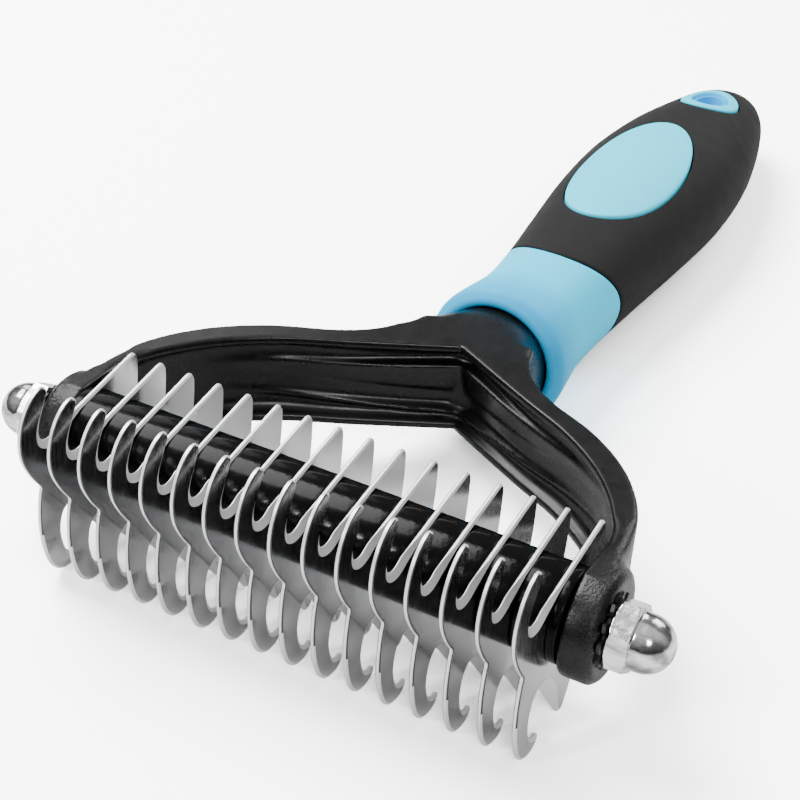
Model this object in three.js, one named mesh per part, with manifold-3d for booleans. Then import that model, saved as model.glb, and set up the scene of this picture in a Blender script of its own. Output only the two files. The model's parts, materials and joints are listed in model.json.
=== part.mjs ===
// Undercoat rake: sixteen two-sided steel blades clamped on an axle between the arms of a cast
// yoke, on a soft-grip handle. Millimetres, +Z up. The model is laid out with the axle's middle
// at (0, 0, 0), X along the axle and +Y towards the handle's end; the last group then moves the
// origin to the bottom centre of the whole rake.
import * as THREE from 'three';
import { mergeVertices } from 'three/addons/utils/BufferGeometryUtils.js';
import Module from 'manifold-3d';

const wasm = await Module();
wasm.setup();

// ---- driving dimensions ----
const BLADE_COUNT = 16;
const BLADE_PITCH = 4.9;
const BLADE_THICKNESS = 0.7;
const FIT_GAP = 0.3; // clearance round a piece that sits inside another
const STACK_GAP = 0.02; // clearance between stacked flat faces on the axle

const AXLE_RADIUS = 3.0;
const AXLE_FLAT = 2.2; // half the distance across the two flats that key the blades
const THREAD_RADIUS = 2.4;
const SPACER_RADIUS = 6.6;

const ARM_INNER_X = 38.4;
const RIM_TOP = 6.8; // the yoke's flat rims, above and below the axle
const RIM_BOTTOM = -8.2;
const LUG = { y: 2, z: -1.2, radius: 8.0, outerX: 43.2 };

const WASHER = { radius: 5.2, thickness: 0.8, teeth: 11, toothHeight: 0.9 };
const NUT = { acrossFlats: 8.8, hexHeight: 3.0, height: 7.9, domeRadius: 3.9, wall: 1.9 };

const NECK = { radius: 8.9, z: -1.8, endY: 59.5 };
const TANG = { radius: 3.3, endY: 112 };
const PIN = { y: 92, radius: 1.2, halfLength: 7 };
const CORE_START_Y = 60;
const SEAM_Y = 74.1; // collar to grip seam at the middle of the handle
const SEAM_SWEEP = 0.053; // how fast the seam runs back towards the tip at the sides
const GRIP_WALL = 2.2;

const PAD = { y: 107, halfLength: 19.5, halfWidth: 8.8, proud: 0.35, depth: 1.2 };
const HANG = { y: 147, halfLength: 6.8, halfWidth: 5.4, proud: 0.3, depth: 1.2 };
const BUSH = { halfLength: 4.4, halfWidth: 3.1, wall: 0.8, recess: 0.4 };

const ROUND_STEPS = 16;
const LOFT_STEPS = 20;
const REACH = 30; // half the size of the blocks that cut across the whole handle

// ---- materials ----
function finish(color, roughness, metalness) {
  return new THREE.MeshStandardMaterial({ color, roughness, metalness });
}
const castBlack = finish(0x141414, 0.3, 0.3);
const spacerBlack = finish(0x0d0d0d, 0.35, 0.0);
const polishedSteel = finish(0xd9dadb, 0.15, 1.0);
const brightSteel = finish(0xe2e2e0, 0.08, 1.0);
const washerBlack = finish(0x080808, 0.4, 0.6);
const gripGrey = finish(0x3e3e3e, 0.7, 0.0);
const skyBlue = finish(0x86ebff, 0.45, 0.0);
const deepBlue = finish(0x00a5f0, 0.45, 0.0);
const coreGrey = finish(0x2b2b2b, 0.6, 0.0);

// ---- solids: closed geometry to manifold-3d and back ----
function toSolid(geometry) {
  const bare = geometry.index ? geometry.clone() : geometry;
  bare.deleteAttribute('normal');
  bare.deleteAttribute('uv');
  const merged = mergeVertices(bare, 1e-4);
  return new wasm.Manifold(new wasm.Mesh({
    numProp: 3,
    vertProperties: new Float32Array(merged.attributes.position.array),
    triVerts: new Uint32Array(merged.index.array),
  }));
}

function toGeometry(solid) {
  const mesh = solid.getMesh();
  const geometry = new THREE.BufferGeometry();
  geometry.setAttribute('position', new THREE.BufferAttribute(mesh.vertProperties, 3));
  geometry.setIndex(new THREE.BufferAttribute(mesh.triVerts, 1));
  return geometry;
}

const cut = (body, ...tools) => tools.reduce((left, tool) => left.subtract(tool), body);
const join = (body, ...more) => more.reduce((left, piece) => left.add(piece), body);

// A local X, Y, Z drawing becomes model Y, Z, X: a profile drawn in the rake's side view.
const SIDE_VIEW = new THREE.Matrix4().makeBasis(
  new THREE.Vector3(0, 1, 0), new THREE.Vector3(0, 0, 1), new THREE.Vector3(1, 0, 0));

// A cylinder along X from x0 to x1.
function rodAlongX(radius, x0, x1, steps = ROUND_STEPS) {
  const geometry = new THREE.CylinderGeometry(radius, radius, x1 - x0, steps);
  geometry.rotateZ(-Math.PI / 2);
  geometry.translate((x0 + x1) / 2, 0, 0);
  return toSolid(geometry);
}

// A cylinder along Y from y0 to y1.
function rodAlongY(radius, y0, y1, steps = ROUND_STEPS) {
  const geometry = new THREE.CylinderGeometry(radius, radius, y1 - y0, steps);
  geometry.translate(0, (y0 + y1) / 2, 0);
  return toSolid(geometry);
}

// An upright elliptical prism centred on (0, y), long side along Y.
function ovalPrism(y, halfLength, halfWidth, z0, z1) {
  const geometry = new THREE.CylinderGeometry(1, 1, z1 - z0, LOFT_STEPS);
  geometry.rotateX(Math.PI / 2);
  geometry.scale(halfWidth, halfLength, 1);
  geometry.translate(0, y, (z0 + z1) / 2);
  return toSolid(geometry);
}

// A closed solid through rings of equal length; the end rings must be flat enough to fan from
// their middle points.
function loft(rings) {
  const positions = [];
  const triangles = [];
  const size = rings[0].length;
  for (const ring of rings) {
    for (const point of ring) positions.push(point.x, point.y, point.z);
  }
  for (let i = 0; i + 1 < rings.length; i += 1) {
    for (let j = 0; j < size; j += 1) {
      const a = i * size + j;
      const b = i * size + (j + 1) % size;
      triangles.push(a, b, a + size, b, b + size, a + size);
    }
  }
  const ends = [[rings[0], 0, true], [rings[rings.length - 1], (rings.length - 1) * size, false]];
  for (const [ring, first, isStart] of ends) {
    const flat = flatten(ring);
    for (const [a, b, c] of THREE.ShapeUtils.triangulateShape(flat.points, [])) {
      const forward = flat.isForward === isStart;
      triangles.push(first + a, first + (forward ? c : b), first + (forward ? b : c));
    }
  }
  const geometry = new THREE.BufferGeometry();
  geometry.setAttribute('position', new THREE.Float32BufferAttribute(positions, 3));
  geometry.setIndex(triangles);
  const solid = toSolid(geometry);
  if (solid.volume() > 0) return solid;
  for (let i = 0; i < triangles.length; i += 3) {
    [triangles[i + 1], triangles[i + 2]] = [triangles[i + 2], triangles[i + 1]];
  }
  geometry.setIndex(triangles);
  return toSolid(geometry);
}

// The ring's points in its own plane, and whether they already run anticlockwise there.
function flatten(ring) {
  const origin = ring[0];
  const across = ring[Math.floor(ring.length / 3)].clone().sub(origin).normalize();
  const other = ring[Math.floor((2 * ring.length) / 3)].clone().sub(origin);
  const normal = new THREE.Vector3().crossVectors(across, other).normalize();
  const up = new THREE.Vector3().crossVectors(normal, across);
  const points = ring.map((point) => {
    const from = point.clone().sub(origin);
    return new THREE.Vector2(from.dot(across), from.dot(up));
  });
  return { points, isForward: !THREE.ShapeUtils.isClockWise(points) };
}

// ---- blade ----
// Side view: x is model Y, y is model Z. A forward-leaning finger and a rear tooth stand above
// the axle; a back-pointing hook and a second rear tooth hang below it.
function bladeShape() {
  const shape = new THREE.Shape();
  shape.moveTo(-11.9, 13.4); // finger tip
  shape.bezierCurveTo(-15.2, 12.6, -17.6, 7.6, -15.6, 3.2); // front bulge
  shape.quadraticCurveTo(-14.4, 0.6, -12.3, -1.9); // down to the waist
  shape.quadraticCurveTo(-11.8, -2.5, -12.2, -3.3);
  shape.bezierCurveTo(-13.2, -8.0, -12.2, -16.2, -8.6, -18.4); // front of the hook
  shape.bezierCurveTo(-6.4, -19.6, -4.2, -19.0, -4.0, -17.8); // round its toe
  shape.quadraticCurveTo(-6.4, -17.1, -7.4, -15.0); // throat of the hook
  shape.quadraticCurveTo(-8.4, -12.4, -8.0, -10.4);
  shape.quadraticCurveTo(-7.4, -8.5, -5.9, -8.6); // lower notch
  shape.quadraticCurveTo(-5.2, -8.9, -4.4, -9.9);
  shape.lineTo(2.2, -18.1); // front of the lower rear tooth
  shape.quadraticCurveTo(3.1, -19.0, 3.9, -17.8);
  shape.quadraticCurveTo(8.6, -9.7, 10.0, -0.7); // back of the blade
  shape.quadraticCurveTo(10.7, 3.4, 10.5, 7.3);
  shape.quadraticCurveTo(10.3, 8.9, 8.9, 8.6); // tip of the upper rear tooth
  shape.lineTo(-8.0, 5.4); // its long cutting edge
  shape.quadraticCurveTo(-10.0, 4.0, -11.5, 5.2); // upper notch
  shape.quadraticCurveTo(-12.5, 6.4, -11.7, 8.6);
  shape.quadraticCurveTo(-10.9, 10.4, -10.2, 12.0); // back of the finger
  shape.quadraticCurveTo(-10.3, 13.6, -11.9, 13.4);
  return shape;
}

// The blade's hole matches the axle: round, with two flats that stop it turning.
function keyedHole(radius, flat) {
  const hole = new THREE.Path();
  const halfArc = Math.asin(flat / radius);
  const steps = 5;
  const corners = [];
  for (const side of [0, Math.PI]) {
    for (let i = 0; i <= steps; i += 1) {
      const angle = side + halfArc * ((2 * i) / steps - 1);
      corners.push(new THREE.Vector2(radius * Math.cos(angle), radius * Math.sin(angle)));
    }
  }
  hole.setFromPoints(corners.reverse());
  hole.closePath();
  return hole;
}

function bladeGeometry() {
  const shape = bladeShape();
  shape.holes.push(keyedHole(AXLE_RADIUS + FIT_GAP, AXLE_FLAT + FIT_GAP));
  const geometry = new THREE.ExtrudeGeometry(shape, {
    depth: BLADE_THICKNESS, bevelEnabled: false, curveSegments: 3,
  });
  geometry.translate(0, 0, -BLADE_THICKNESS / 2);
  geometry.applyMatrix4(SIDE_VIEW);
  return geometry;
}

// ---- axle hardware ----
function tubeAlongX(outer, inner, length, steps = ROUND_STEPS) {
  const half = length / 2;
  const profile = [
    new THREE.Vector2(inner, -half), new THREE.Vector2(outer, -half),
    new THREE.Vector2(outer, half), new THREE.Vector2(inner, half),
    new THREE.Vector2(inner, -half),
  ];
  const geometry = new THREE.LatheGeometry(profile, steps);
  geometry.rotateZ(-Math.PI / 2);
  return geometry;
}

const packHalf = ((BLADE_COUNT - 1) * BLADE_PITCH + BLADE_THICKNESS) / 2;
const nutFaceX = LUG.outerX + STACK_GAP + WASHER.thickness + STACK_GAP;
const axleEndX = nutFaceX + NUT.height - NUT.wall - FIT_GAP;

// Threaded ends, and a middle with two flats that keys every blade.
function axleGeometry() {
  const middleEnd = LUG.outerX - 1;
  const middle = rodAlongX(AXLE_RADIUS, -middleEnd, middleEnd);
  const flatBox = new THREE.BoxGeometry(3 * middleEnd, 3 * AXLE_RADIUS, AXLE_RADIUS);
  flatBox.translate(0, 0, AXLE_FLAT + AXLE_RADIUS / 2);
  const topFlat = toSolid(flatBox);
  flatBox.rotateX(Math.PI);
  const bottomFlat = toSolid(flatBox);
  const keyed = cut(middle, topFlat, bottomFlat);
  return toGeometry(join(keyed, rodAlongX(THREAD_RADIUS, -axleEndX, axleEndX)));
}

// External-tooth lock washer, flat against the lug.
function lockWasherGeometry() {
  const root = WASHER.radius - WASHER.toothHeight;
  const tooth = [[0, root], [0.2, WASHER.radius], [0.5, WASHER.radius], [0.7, root]];
  const outline = [];
  for (let i = 0; i < WASHER.teeth; i += 1) {
    for (const [fraction, radius] of tooth) {
      const angle = ((i + fraction) / WASHER.teeth) * 2 * Math.PI;
      outline.push(new THREE.Vector2(radius * Math.cos(angle), radius * Math.sin(angle)));
    }
  }
  const shape = new THREE.Shape(outline);
  const hole = new THREE.Path();
  hole.absarc(0, 0, THREAD_RADIUS + FIT_GAP, 0, 2 * Math.PI, true);
  shape.holes.push(hole);
  const geometry = new THREE.ExtrudeGeometry(shape, {
    depth: WASHER.thickness, bevelEnabled: false, curveSegments: 7,
  });
  geometry.applyMatrix4(SIDE_VIEW);
  return geometry;
}

// Acorn nut opening towards -X: a chamfered hexagon, a domed cap and a blind bore.
function capNutGeometry() {
  const inradius = NUT.acrossFlats / 2;
  const corner = NUT.acrossFlats / Math.sqrt(3);
  const hex = rodAlongX(corner, 0, NUT.hexHeight, 6);
  const chamferRun = 1.0; // the cone is as wide as the corners this far below the hexagon's top
  const cone = new THREE.CylinderGeometry(
    inradius, inradius + (corner - inradius) * (NUT.hexHeight / chamferRun),
    NUT.hexHeight, ROUND_STEPS);
  cone.rotateZ(-Math.PI / 2);
  cone.translate(NUT.hexHeight / 2, 0, 0);
  const profile = [
    new THREE.Vector2(0, NUT.hexHeight / 2), new THREE.Vector2(NUT.domeRadius, NUT.hexHeight / 2),
  ];
  const arcSteps = 5;
  for (let i = 0; i < arcSteps; i += 1) {
    const angle = (i / arcSteps) * (Math.PI / 2);
    profile.push(new THREE.Vector2(
      NUT.domeRadius * Math.cos(angle),
      NUT.height - NUT.domeRadius * (1 - Math.sin(angle))));
  }
  profile.push(new THREE.Vector2(0, NUT.height));
  const dome = new THREE.LatheGeometry(profile, ROUND_STEPS);
  dome.rotateZ(-Math.PI / 2);
  const bore = rodAlongX(THREAD_RADIUS + FIT_GAP, -1, NUT.height - NUT.wall);
  const body = join(hex.intersect(toSolid(cone)), toSolid(dome));
  return toGeometry(cut(body, bore));
}

// ---- yoke ----
// Plan curves of the rims' outer and inner edges, from the right arm's end to the middle.
const OUTER_PLAN = [
  [41.4, 0], [41.3, 6], [40.7, 12], [38.2, 19], [33.4, 25.8],
  [26.6, 31.4], [17.2, 36.2], [9.8, 41.0], [0, 48],
];
const INNER_PLAN = [
  [ARM_INNER_X, 0], [38.3, 6], [37.5, 11.5], [34.5, 17.6], [29.4, 23.8],
  [22.6, 29.2], [14.6, 33.6], [7.6, 37.6], [0, 42],
];

function planCurve(points) {
  return new THREE.CatmullRomCurve3(points.map(([x, y]) => new THREE.Vector3(x, y, 0)));
}

// The arm's section: outer wall, a rim along the top and the bottom, and a rib between two
// hollows on the inner face. across 0 is the outer wall and 1 the rims' inner edge; share is the
// height as a part of the way from the middle to the rim.
function armSection() {
  const middle = (RIM_TOP + RIM_BOTTOM) / 2;
  const halfHeight = (RIM_TOP - RIM_BOTTOM) / 2;
  const upper = [
    [0, 0.86], [0.14, 1], [0.92, 1], [1, 0.93], [1, 0.78], [0.6, 0.62], [0.52, 0.36], [0.9, 0.1],
  ];
  const lower = upper.map(([across, share]) => [across, -share]).reverse();
  return [...upper, ...lower].map(([across, share]) => [across, middle + share * halfHeight]);
}

function yokeSweep() {
  const outer = planCurve(OUTER_PLAN);
  const inner = planCurve(INNER_PLAN);
  const section = armSection();
  const halfStations = 10;
  const rings = [];
  for (let i = -halfStations; i <= halfStations; i += 1) {
    const along = 1 - Math.abs(i) / halfStations;
    const mirror = i < 0 ? -1 : 1;
    const o = outer.getPoint(along);
    const n = inner.getPoint(along);
    rings.push(section.map(([across, z]) => new THREE.Vector3(
      mirror * THREE.MathUtils.lerp(o.x, n.x, across), THREE.MathUtils.lerp(o.y, n.y, across), z)));
  }
  return loft(rings);
}

// Flat on top where it leaves the arms, level with their rims, and round where it enters the
// collar.
function neckSolid() {
  const stations = [
    { y: 45, z: -0.7, halfWidth: 9.9, halfHeight: 7.5, squareness: 5 },
    { y: 48, z: -0.9, halfWidth: 9.6, halfHeight: 7.8, squareness: 4 },
    { y: 52, z: -1.5, halfWidth: 9.2, halfHeight: 8.4, squareness: 3 },
    { y: 55.5, z: NECK.z, halfWidth: NECK.radius, halfHeight: NECK.radius },
    { y: NECK.endY, z: NECK.z, halfWidth: NECK.radius, halfHeight: NECK.radius },
  ];
  return loft(stations.map(ovalRing));
}

// Fills the outer corners between the arms and the neck, as high as the rims.
function webSolid() {
  const flank = [[20, 34.4], [14.5, 38.2], [11.3, 42], [9.9, 46.5], [9.4, 50]];
  const crook = [[-9.6, 40.6], [0, 47.4], [9.6, 40.6]];
  const mirrored = flank.map(([x, y]) => [-x, y]).reverse();
  const outline = [...flank, ...mirrored, ...crook].map(([x, y]) => new THREE.Vector2(x, y));
  const geometry = new THREE.ExtrudeGeometry(
    new THREE.Shape(outline), { depth: RIM_TOP - RIM_BOTTOM, bevelEnabled: false });
  geometry.translate(0, 0, RIM_BOTTOM);
  return toSolid(geometry);
}

function yokeGeometry() {
  const lugSteps = 24;
  const rightLug = rodAlongX(LUG.radius, ARM_INNER_X, LUG.outerX, lugSteps)
    .translate([0, LUG.y, LUG.z]);
  const leftLug = rightLug.mirror([1, 0, 0]);
  const axleHole = rodAlongX(AXLE_RADIUS + FIT_GAP, -LUG.outerX - 1, LUG.outerX + 1);
  const body = join(yokeSweep(), webSolid(), neckSolid(), tangRod(0), rightLug, leftLug);
  return toGeometry(cut(body, axleHole, tangPin(FIT_GAP)));
}

// The steel tail that runs back from the neck inside the handle.
function tangRod(grow) {
  return rodAlongY(TANG.radius + grow, NECK.endY - 1, TANG.endY + grow).translate([0, 0, NECK.z]);
}

function tangPin(grow) {
  const halfLength = PIN.halfLength + grow;
  return rodAlongX(PIN.radius + grow, -halfLength, halfLength).translate([0, PIN.y, NECK.z]);
}

// ---- handle ----
// Ovals of the finished handle from the collar's lip to the tip.
const HANDLE_SECTIONS = [
  { y: 55.2, z: -1.8, halfWidth: 11.1, halfHeight: 11.1 },
  { y: 56.2, z: -1.8, halfWidth: 11.7, halfHeight: 11.7 },
  { y: 60, z: -1.6, halfWidth: 11.3, halfHeight: 11.3 },
  { y: 66, z: -1.4, halfWidth: 10.5, halfHeight: 10.5 },
  { y: 72, z: -1.2, halfWidth: 10.4, halfHeight: 10.2 },
  { y: 80, z: -0.6, halfWidth: 10.9, halfHeight: 10.4 },
  { y: 92, z: 0.4, halfWidth: 12.2, halfHeight: 10.8 },
  { y: 106, z: 1.4, halfWidth: 13.7, halfHeight: 11.3 },
  { y: 120, z: 1.9, halfWidth: 14.4, halfHeight: 11.5 },
  { y: 134, z: 2.2, halfWidth: 13.5, halfHeight: 10.7 },
  { y: 146, z: 2.6, halfWidth: 11.3, halfHeight: 9.1 },
  { y: 155, z: 3.1, halfWidth: 8.9, halfHeight: 7.3 },
  { y: 160.5, z: 2.9, halfWidth: 6.8, halfHeight: 5.7 },
  { y: 164, z: 2.6, halfWidth: 4.9, halfHeight: 4.1 },
  { y: 165.8, z: 2.5, halfWidth: 3.1, halfHeight: 2.6 },
  { y: 166.5, z: 2.5, halfWidth: 1.3, halfHeight: 1.1 },
];
const TAPER_Y = 146; // an offset copy of the handle moves its sections along Y from here on

// An upright ring: squareness 2 is an ellipse, and higher values square its corners.
function ovalRing({ y, z, halfWidth, halfHeight, squareness = 2 }) {
  const ring = [];
  const bend = (value) => Math.sign(value) * Math.abs(value) ** (2 / squareness);
  for (let i = 0; i < LOFT_STEPS; i += 1) {
    const angle = (i / LOFT_STEPS) * 2 * Math.PI;
    ring.push(new THREE.Vector3(
      halfWidth * bend(Math.cos(angle)), y, z + halfHeight * bend(Math.sin(angle))));
  }
  return ring;
}

// The handle's outside, grown by offset, or shrunk by it when it is negative.
function handleSolid(offset) {
  const tipY = HANDLE_SECTIONS[HANDLE_SECTIONS.length - 1].y;
  const thinnest = 0.5;
  return loft(HANDLE_SECTIONS.map(({ y, z, halfWidth, halfHeight }) => ovalRing({
    y: y + offset * THREE.MathUtils.smoothstep(y, TAPER_Y, tipY),
    z,
    halfWidth: Math.max(halfWidth + offset, thinnest),
    halfHeight: Math.max(halfHeight + offset, thinnest),
  })));
}

// Everything on the head's side of the seam, moved by shift along Y.
function seamSide(shift) {
  const halfSpan = 18;
  const steps = 12;
  const outline = [new THREE.Vector2(-halfSpan, 0), new THREE.Vector2(halfSpan, 0)];
  for (let i = 0; i <= steps; i += 1) {
    const x = halfSpan * (1 - (2 * i) / steps);
    outline.push(new THREE.Vector2(x, SEAM_Y + shift + SEAM_SWEEP * x * x));
  }
  const geometry = new THREE.ExtrudeGeometry(
    new THREE.Shape(outline), { depth: 2 * REACH, bevelEnabled: false });
  geometry.translate(0, 0, -REACH);
  return toSolid(geometry);
}

const hangHole = (grow) => ovalPrism(
  HANG.y, BUSH.halfLength + grow, BUSH.halfWidth + grow, -REACH, REACH);

// An oval inlay on the top of the handle, standing proud of the grip.
function inlay(place) {
  const oval = ovalPrism(place.y, place.halfLength, place.halfWidth, 0, REACH);
  return cut(handleSolid(place.proud).intersect(oval), handleSolid(-place.depth));
}

function inlayPocket(place) {
  const oval = ovalPrism(
    place.y, place.halfLength + FIT_GAP, place.halfWidth + FIT_GAP, 0, REACH);
  return cut(oval, handleSolid(-place.depth - FIT_GAP));
}

function gripGeometry() {
  const shell = cut(handleSolid(0), seamSide(FIT_GAP), handleSolid(-GRIP_WALL));
  return toGeometry(cut(shell, inlayPocket(PAD), inlayPocket(HANG), hangHole(FIT_GAP)));
}

// The hard inside of the handle; grow 0 leaves FIT_GAP to the grip's and the collar's inner wall.
function coreSolid(grow) {
  const startY = CORE_START_Y - grow;
  const front = new THREE.BoxGeometry(2 * REACH, startY, 2 * REACH);
  front.translate(0, startY / 2, 0);
  return cut(handleSolid(-GRIP_WALL - FIT_GAP + grow), toSolid(front));
}

function coreGeometry() {
  return toGeometry(cut(coreSolid(0), tangRod(FIT_GAP), tangPin(FIT_GAP), hangHole(FIT_GAP)));
}

function collarGeometry() {
  const mouth = rodAlongY(NECK.radius + FIT_GAP, SEAM_Y - REACH, CORE_START_Y, LOFT_STEPS)
    .translate([0, 0, NECK.z]);
  return toGeometry(cut(handleSolid(0).intersect(seamSide(0)), coreSolid(FIT_GAP), mouth));
}

function hangBushGeometry() {
  const tube = cut(hangHole(0), hangHole(-BUSH.wall));
  return toGeometry(tube.intersect(handleSolid(-BUSH.recess)));
}

// ---- assembly ----
const rake = new THREE.Group();

function addPiece(name, geometry, material, x = 0) {
  const mesh = new THREE.Mesh(geometry, material);
  mesh.name = name;
  mesh.position.x = x;
  rake.add(mesh);
  return mesh;
}

const number = (i) => String(i).padStart(2, '0');

addPiece('yoke', yokeGeometry(), castBlack);
addPiece('axle_rod', axleGeometry(), brightSteel);
addPiece('handle_core', coreGeometry(), coreGrey);
addPiece('tang_pin', toGeometry(tangPin(0)), brightSteel);
addPiece('grip', gripGeometry(), gripGrey);
addPiece('collar', collarGeometry(), skyBlue);
addPiece('thumb_pad', toGeometry(inlay(PAD)), skyBlue);
addPiece('hang_ring', toGeometry(cut(inlay(HANG), hangHole(FIT_GAP))), skyBlue);
addPiece('hang_bush', hangBushGeometry(), deepBlue);

const blade = bladeGeometry();
const spacer = tubeAlongX(
  SPACER_RADIUS, AXLE_RADIUS + FIT_GAP, BLADE_PITCH - BLADE_THICKNESS - 2 * STACK_GAP);
for (let i = 0; i < BLADE_COUNT; i += 1) {
  const x = (i - (BLADE_COUNT - 1) / 2) * BLADE_PITCH;
  addPiece(`blade_${number(i + 1)}`, blade, polishedSteel, x);
  if (i < BLADE_COUNT - 1) {
    addPiece(`spacer_${number(i + 1)}`, spacer, spacerBlack, x + BLADE_PITCH / 2);
  }
}

const endSpacer = tubeAlongX(
  SPACER_RADIUS, AXLE_RADIUS + FIT_GAP, ARM_INNER_X - packHalf - 2 * STACK_GAP);
const lockWasher = lockWasherGeometry();
const capNut = capNutGeometry();
for (const [side, turn] of [['left', Math.PI], ['right', 0]]) {
  const sign = side === 'left' ? -1 : 1;
  addPiece(`end_spacer_${side}`, endSpacer, spacerBlack, (sign * (ARM_INNER_X + packHalf)) / 2);
  const washer = addPiece(
    `lock_washer_${side}`, lockWasher, washerBlack, sign * (LUG.outerX + STACK_GAP));
  const nut = addPiece(`cap_nut_${side}`, capNut, brightSteel, sign * nutFaceX);
  washer.rotation.z = turn;
  nut.rotation.z = turn;
}

// The origin goes to the bottom centre of the rake's box.
const placed = new THREE.Group();
placed.add(rake);
rake.updateMatrixWorld(true);
const box = new THREE.Box3().setFromObject(rake, true);
rake.position.set(0, -(box.min.y + box.max.y) / 2, -box.min.z);

export default placed;
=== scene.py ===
import json
import math

import bmesh
import bpy
from mathutils import Matrix, Vector
from mathutils.geometry import tessellate_polygon


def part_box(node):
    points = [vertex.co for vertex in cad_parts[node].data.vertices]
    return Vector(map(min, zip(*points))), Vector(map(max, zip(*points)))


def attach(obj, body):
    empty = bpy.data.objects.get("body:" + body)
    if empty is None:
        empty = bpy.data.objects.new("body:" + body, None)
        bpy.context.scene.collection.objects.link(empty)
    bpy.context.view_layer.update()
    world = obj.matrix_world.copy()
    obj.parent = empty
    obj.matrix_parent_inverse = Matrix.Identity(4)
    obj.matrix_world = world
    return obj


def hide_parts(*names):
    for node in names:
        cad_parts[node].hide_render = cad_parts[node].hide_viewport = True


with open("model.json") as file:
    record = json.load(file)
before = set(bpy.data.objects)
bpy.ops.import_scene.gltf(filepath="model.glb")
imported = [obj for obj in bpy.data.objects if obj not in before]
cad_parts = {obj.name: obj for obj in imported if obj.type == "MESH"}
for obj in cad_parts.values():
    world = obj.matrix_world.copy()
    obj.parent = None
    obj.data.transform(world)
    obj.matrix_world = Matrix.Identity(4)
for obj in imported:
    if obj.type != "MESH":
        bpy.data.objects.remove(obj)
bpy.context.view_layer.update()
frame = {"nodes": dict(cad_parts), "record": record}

# Every piece below is drawn in millimetres from the middle of the axle: X along the axle,
# +Y towards the end of the handle, +Z up. make_mesh() moves it into the row frame.
MM = 0.001


def middle(node):
    low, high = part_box(node)
    return (Vector(low) + Vector(high)) / 2


AXLE = middle("axle_rod")

BLADES = [f"blade_{i:02d}" for i in range(1, 17)]
SPACERS = [f"spacer_{i:02d}" for i in range(1, 16)]
SIDES = {"left": -1, "right": 1}


# ---- numbers shared by several pieces ----
BLADE_THICKNESS = 0.7
SPACER_RADIUS = 6.6
AXLE_RADIUS = 3.0
AXLE_FLAT = 2.2
THREAD_RADIUS = 2.4
THREAD_PITCH = 0.8
FIT_GAP = 0.3
RIM_TOP = 6.8
RIM_BOTTOM = -8.2
ARM_INNER_X = 38.4
LUG = {"y": 2.0, "z": -1.2, "radius": 8.0, "outer_x": 43.2}
WASHER = {"radius": 5.2, "thickness": 0.8, "teeth": 11}
NUT = {"across_flats": 8.8, "hex_height": 3.0, "height": 7.9, "dome_radius": 3.9, "wall": 1.9}
WASHER_GAP = 0.02
NUT_FACE_X = 44.04
NECK = {"radius": 8.9, "z": -1.8, "end_y": 59.5}
TANG = {"radius": 3.3, "end_y": 112.0}
SEAM_Y = 74.1
SEAM_SWEEP = 0.053
PAD = {"y": 107.0, "half_length": 19.5, "half_width": 8.8, "proud": 0.35, "depth": 1.2}
HANG = {"y": 147.0, "half_length": 6.8, "half_width": 5.4, "proud": 0.3, "depth": 1.2}
BUSH = {"half_length": 4.4, "half_width": 3.1, "wall": 0.8, "recess": 0.4}
RING_EDGE_ROUND = 0.3
HOOK_TIP_Y = -7.0
AXLE_STEPS = 48
ROUND_STEPS = 64


# ---- small maths ----
def mix(a, b, t):
    return a + (b - a) * t


def smoothstep(low, high, value):
    t = min(max((value - low) / (high - low), 0.0), 1.0)
    return t * t * (3 - 2 * t)


def catmull(rows, u):
    """A smooth curve through rows of numbers; u runs from 0 to the last row's index."""
    last = len(rows) - 1
    i = min(int(u), last - 1)
    t = u - i
    p0, p1, p2, p3 = (rows[min(max(i + k, 0), last)] for k in (-1, 0, 1, 2))
    return tuple(
        b + 0.5 * t * (c - a + t * (2 * a - 5 * b + 4 * c - d + t * (3 * (b - c) + d - a)))
        for a, b, c, d in zip(p0, p1, p2, p3))


def spread(low, high, count):
    return [mix(low, high, i / (count - 1)) for i in range(count)]


# ---- meshes ----
def make_mesh(name, points, faces, sharp_degrees, face_slots=None):
    """A mesh in the row frame from axle-frame millimetres, smooth except past the angle."""
    mesh = bpy.data.meshes.new(name)
    mesh.from_pydata([Vector(p) for p in points], [], faces)
    if face_slots:
        mesh.polygons.foreach_set("material_index", face_slots)
    work = bmesh.new()
    work.from_mesh(mesh)
    bmesh.ops.remove_doubles(work, verts=work.verts, dist=1e-4)
    bmesh.ops.recalc_face_normals(work, faces=work.faces)
    work.to_mesh(mesh)
    work.free()
    mesh.transform(Matrix.Translation(AXLE) @ Matrix.Scale(MM, 4))
    finish_shading(mesh, sharp_degrees)
    return mesh


def finish_shading(mesh, sharp_degrees):
    mesh.shade_smooth()
    mesh.set_sharp_from_angle(angle=math.radians(sharp_degrees))


def add_object(name, mesh, offset_x=0.0):
    piece = bpy.data.objects.new(name, mesh)
    bpy.context.scene.collection.objects.link(piece)
    piece.location.x = offset_x
    return piece


def stand_for(piece, node, body):
    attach(piece, body)
    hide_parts(node)


def ring_faces(ring_count, size, close_ends=False):
    faces = []
    for i in range(ring_count - 1):
        for j in range(size):
            k = (j + 1) % size
            faces.append((i * size + j, i * size + k, (i + 1) * size + k, (i + 1) * size + j))
    if close_ends:
        first_of_last = (ring_count - 1) * size
        faces.append(tuple(range(size)))
        faces.append(tuple(range(first_of_last, first_of_last + size)))
    return faces


def turned(profile, steps):
    """Points and faces of a shape turned about X. A radius may be a number or a function of the
    angle; a profile that starts and ends at radius 0, or closes on itself, gives a solid."""
    points = []
    for x, radius in profile:
        for j in range(steps):
            angle = 2 * math.pi * j / steps
            r = radius(angle) if callable(radius) else radius
            points.append((x, r * math.cos(angle), r * math.sin(angle)))
    return points, ring_faces(len(profile), steps)


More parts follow.
